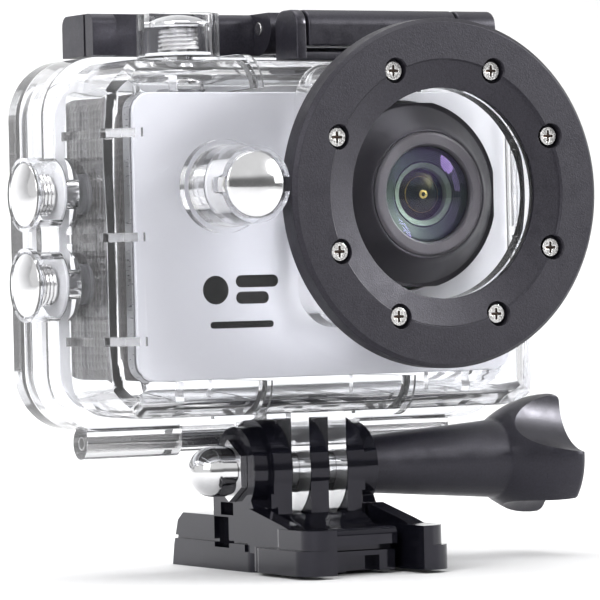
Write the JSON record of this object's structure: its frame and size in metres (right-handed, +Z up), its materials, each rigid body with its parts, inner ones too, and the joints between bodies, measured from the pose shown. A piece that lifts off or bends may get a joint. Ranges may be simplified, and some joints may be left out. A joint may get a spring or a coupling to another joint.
{
  "type": "action camera",
  "caption": "Small silver action camera in a clear waterproof case with a round black lens ring, top latch and push buttons, on a tilting buckle mount with a thumb screw.",
  "frame": {"origin": "on the buckle's flat underside, straight below the middle of the tilt pivot", "axes": "+X along the tilt pivot towards the thumb screw, -Y the way the lens looks, +Z up"},
  "size_m": [0.0883, 0.0476, 0.0831],
  "materials": {
    "clear_plastic": "clear moulded polycarbonate, polished",
    "ring_plastic": "black, fine grain",
    "latch_plastic": "black, satin with a light grain",
    "buckle_plastic": "black, moulded gloss",
    "knob_plastic": "black, soft gloss",
    "rubber": "black silicone rubber",
    "steel": "bright stainless steel",
    "chrome": "polished chrome plate",
    "window_glass": "flat clear window",
    "silver_paint": "silver paint, satin",
    "band_metal": "grey, brushed",
    "grain_skin": "dark grey, grained",
    "inner_plastic": "dark grey moulded plastic",
    "screen_glass": "black display glass",
    "barrel_plastic": "black, satin",
    "bezel_metal": "dark anodised, turned",
    "baffle_plastic": "black with fine steps",
    "coated_glass": "coated lens glass",
    "sensor_glass": "iridescent chip glass",
    "board": "green circuit board",
    "battery_wrap": "blue-grey wrapped cell",
    "key_plastic": "grey key with a rounded edge"
  },
  "bodies": {
    "buckle": {"buckle": "buckle_plastic", "acorn_nut": "chrome"},
    "left_arm": {"left_arm": "buckle_plastic"},
    "right_arm": {"right_arm": "buckle_plastic"},
    "thumb_screw": {"screw_bolt": "chrome", "screw_knob": "knob_plastic"},
    "door": {"rear_door": "clear_plastic", "door_seal": "rubber"},
    "latch": {"latch_lever": "latch_plastic"},
    "lock": {"latch_lock": "latch_plastic"},
    "shutter_button": {"shutter_plunger": "chrome", "shutter_clip": "steel"},
    "shutter_key": {"shutter_key": "key_plastic"},
    "power_button": {"power_plunger": "chrome", "power_clip": "steel"},
    "power_key": {"power_key": "key_plastic"},
    "upper_button": {"upper_plunger": "chrome", "upper_clip": "steel"},
    "upper_key": {"upper_key": "key_plastic"},
    "lower_button": {"lower_plunger": "chrome", "lower_clip": "steel"},
    "lower_key": {"lower_key": "key_plastic"},
    "case": {"front_shell": "clear_plastic", "door_hinge_pin": "steel", "lens_ring": "ring_plastic", "ring_screws": "steel", "lens_window": "window_glass", "window_gasket": "rubber", "latch_pin": "steel", "latch_bracket": "latch_plastic", "lock_pin": "steel", "shutter_spring": "steel", "power_spring": "steel", "upper_spring": "steel", "lower_spring": "steel", "shutter_seal": "rubber", "power_seal": "rubber", "upper_seal": "rubber", "lower_seal": "rubber", "camera_front": "silver_paint", "camera_band": "band_metal", "camera_skin": "grain_skin", "camera_body": "inner_plastic", "camera_back": "inner_plastic", "camera_screen": "screen_glass", "lens_barrel": "barrel_plastic", "lens_bezel": "bezel_metal", "lens_glass": "coated_glass", "lens_baffle": "baffle_plastic", "lens_inner": "coated_glass", "image_sensor": "sensor_glass", "main_board": "board", "battery": "battery_wrap", "battery_door": "inner_plastic"}
  },
  "joints": [
    {"name": "tilt", "type": "hinge", "parent": "buckle", "child": "case", "pos_m": [0, 0, 0.015], "axis": [1, 0, 0], "range_deg": [-36, 40]},
    {"name": "screw_turn", "type": "hinge", "parent": "buckle", "child": "thumb_screw", "pos_m": [0, 0, 0.015], "axis": [1, 0, 0], "continuous": true},
    {"name": "left_squeeze", "type": "hinge", "parent": "buckle", "child": "left_arm", "pos_m": [-0.0093, -0.0081, 0.002], "axis": [0, 0, 1], "range_deg": [0, 3.3], "stiffness_Nm_per_rad": 2},
    {"name": "right_squeeze", "type": "hinge", "parent": "buckle", "child": "right_arm", "pos_m": [0.0093, -0.0081, 0.002], "axis": [0, 0, -1], "range_deg": [0, 3.3], "stiffness_Nm_per_rad": 2},
    {"name": "door_swing", "type": "hinge", "parent": "case", "child": "door", "pos_m": [0, 0.01, 0.01955], "axis": [-1, 0, 0], "range_deg": [0, 100]},
    {"name": "latch_swing", "type": "hinge", "parent": "case", "child": "latch", "pos_m": [0, 0.00205, 0.0807], "axis": [1, 0, 0], "range_deg": [0, 75]},
    {"name": "lock_rock", "type": "hinge", "parent": "case", "child": "lock", "pos_m": [0, -0.0066, 0.0796], "axis": [-1, 0, 0], "range_deg": [0, 8], "stiffness_Nm_per_rad": 0.05},
    {"name": "shutter_press", "type": "slide", "parent": "case", "child": "shutter_button", "axis": [0, 0, -1], "range_m": [0, 0.0014], "stiffness_N_per_m": 400, "deforming": ["shutter_spring"]},
    {"name": "shutter_key_press", "type": "slide", "parent": "case", "child": "shutter_key", "axis": [0, 0, -1], "range_m": [0, 0.0005]},
    {"name": "power_press", "type": "slide", "parent": "case", "child": "power_button", "axis": [0, 1, 0], "range_m": [0, 0.001], "stiffness_N_per_m": 400, "deforming": ["power_spring"]},
    {"name": "power_key_press", "type": "slide", "parent": "case", "child": "power_key", "axis": [0, 1, 0], "range_m": [0, 0.00035]},
    {"name": "upper_press", "type": "slide", "parent": "case", "child": "upper_button", "axis": [1, 0, 0], "range_m": [0, 0.0012], "stiffness_N_per_m": 400, "deforming": ["upper_spring"]},
    {"name": "upper_key_press", "type": "slide", "parent": "case", "child": "upper_key", "axis": [1, 0, 0], "range_m": [0, 0.0006]},
    {"name": "lower_press", "type": "slide", "parent": "case", "child": "lower_button", "axis": [1, 0, 0], "range_m": [0, 0.0012], "stiffness_N_per_m": 400, "deforming": ["lower_spring"]},
    {"name": "lower_key_press", "type": "slide", "parent": "case", "child": "lower_key", "axis": [1, 0, 0], "range_m": [0, 0.0006]}
  ],
  "couplings": [
    {"joint": "shutter_key_press", "follows": "shutter_press", "ratio": 0.35714},
    {"joint": "power_key_press", "follows": "power_press", "ratio": 0.35},
    {"joint": "upper_key_press", "follows": "upper_press", "ratio": 0.5},
    {"joint": "lower_key_press", "follows": "lower_press", "ratio": 0.5}
  ]
}
